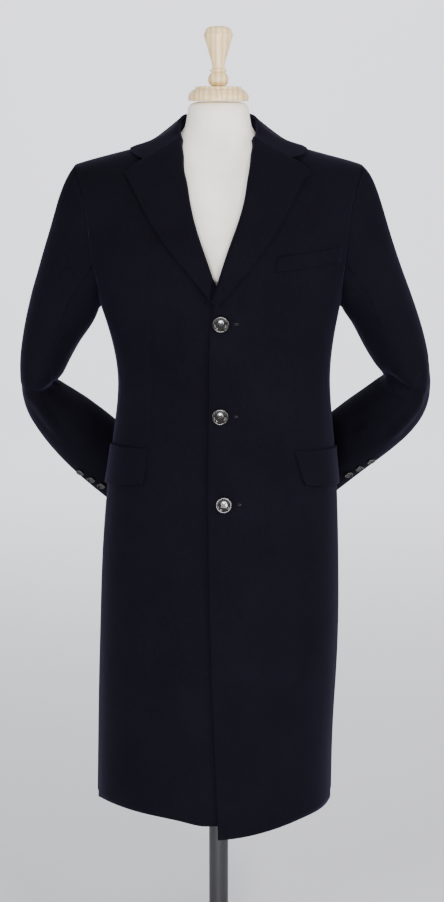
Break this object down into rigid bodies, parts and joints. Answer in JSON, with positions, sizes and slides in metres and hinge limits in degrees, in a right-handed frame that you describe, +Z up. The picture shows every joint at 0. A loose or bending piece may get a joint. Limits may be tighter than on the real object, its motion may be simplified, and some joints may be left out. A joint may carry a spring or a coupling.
{
  "type": "wool overcoat on dress form",
  "caption": "Long single-breasted wool overcoat with notched lapels, flap pockets and horn buttons, buttoned on a limbless dress form with a turned cap, pole and round base.",
  "frame": {"origin": "centre of the underside of the round base, on the axis of the pole", "axes": "+Z up; the front of the coat faces -Y; +X is the wearer's left"},
  "size_m": [0.7106, 0.4113, 1.655],
  "materials": {
    "wool": "napped dark navy wool, matt with a faint sheen",
    "horn": "polished dark horn",
    "jersey": "plain cream jersey cover",
    "turned_wood": "clear satin varnish on pale turned wood",
    "stand_paint": "satin black paint"
  },
  "bodies": {
    "root": {"front_left": "wool", "side_panel_left": "wool", "back_left": "wool", "top_sleeve_left": "wool", "under_sleeve_left": "wool", "lapel_left": "wool", "front_right": "wool", "side_panel_right": "wool", "back_right": "wool", "top_sleeve_right": "wool", "under_sleeve_right": "wool", "lapel_right": "wool", "collar_fall": "wool", "collar_stand": "wool", "flap_left": "wool", "flap_right": "wool", "breast_welt": "wool", "front_button_1": "horn", "front_button_2": "horn", "front_button_3": "horn", "cuff_button_left_1": "horn", "cuff_button_left_2": "horn", "cuff_button_left_3": "horn", "cuff_button_right_1": "horn", "cuff_button_right_2": "horn", "cuff_button_right_3": "horn", "dress_form": "jersey", "cap_disc": "turned_wood", "cap_ball": "turned_wood", "cap_knob": "turned_wood", "pole": "stand_paint", "base": "stand_paint"}
  },
  "joints": []
}
